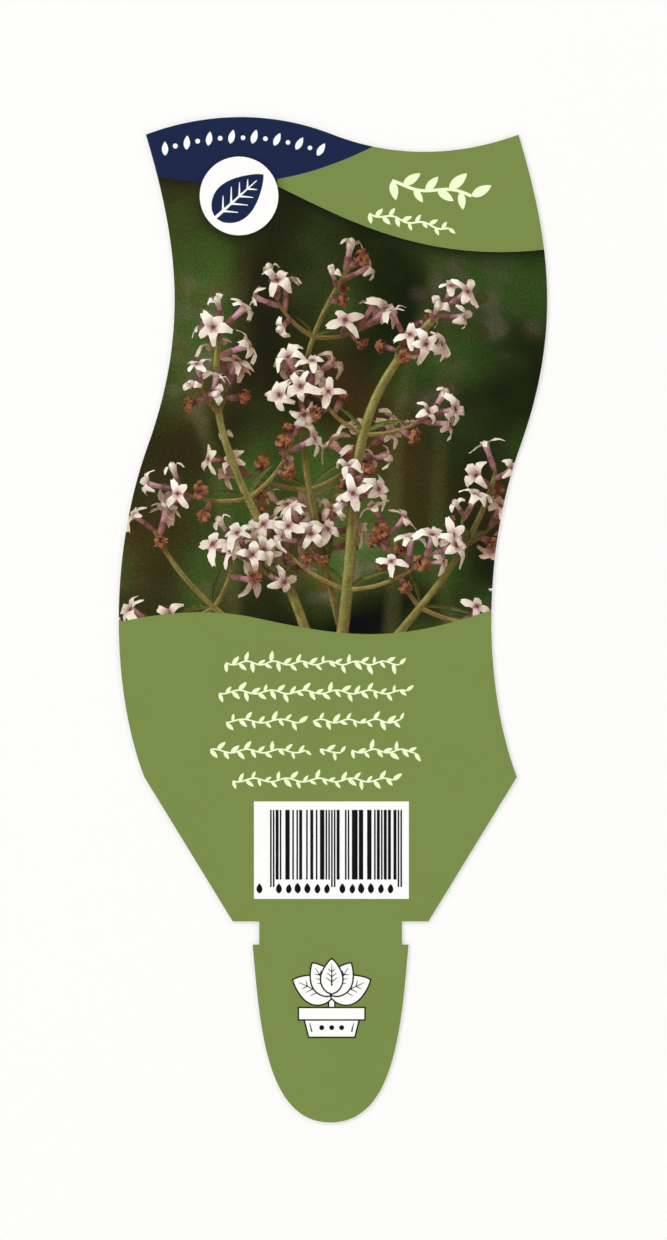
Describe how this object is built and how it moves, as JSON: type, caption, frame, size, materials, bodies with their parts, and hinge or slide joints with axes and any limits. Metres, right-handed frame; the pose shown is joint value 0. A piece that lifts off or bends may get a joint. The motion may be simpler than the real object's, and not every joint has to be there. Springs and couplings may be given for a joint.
{
  "type": "plant label",
  "caption": "Flat die-cut plastic label for a potted herb, with wavy sides, a tapered foot, and a neck and tongue that clip into a slot in the pot's rim.",
  "frame": {"origin": "middle of the outline's bounding box, on the label's back, so the label lies on Z = 0", "axes": "+Z out of the printed face, +Y along the label from the tongue's tip to the wavy top edge, +X to the right as the label is read"},
  "size_m": [0.0816, 0.1916, 0.0005],
  "materials": {
    "printed_plastic": "satin, printed on the front, plain white on the back and the cut edge"
  },
  "bodies": {
    "root": {"label_sheet": "printed_plastic"}
  },
  "joints": []
}
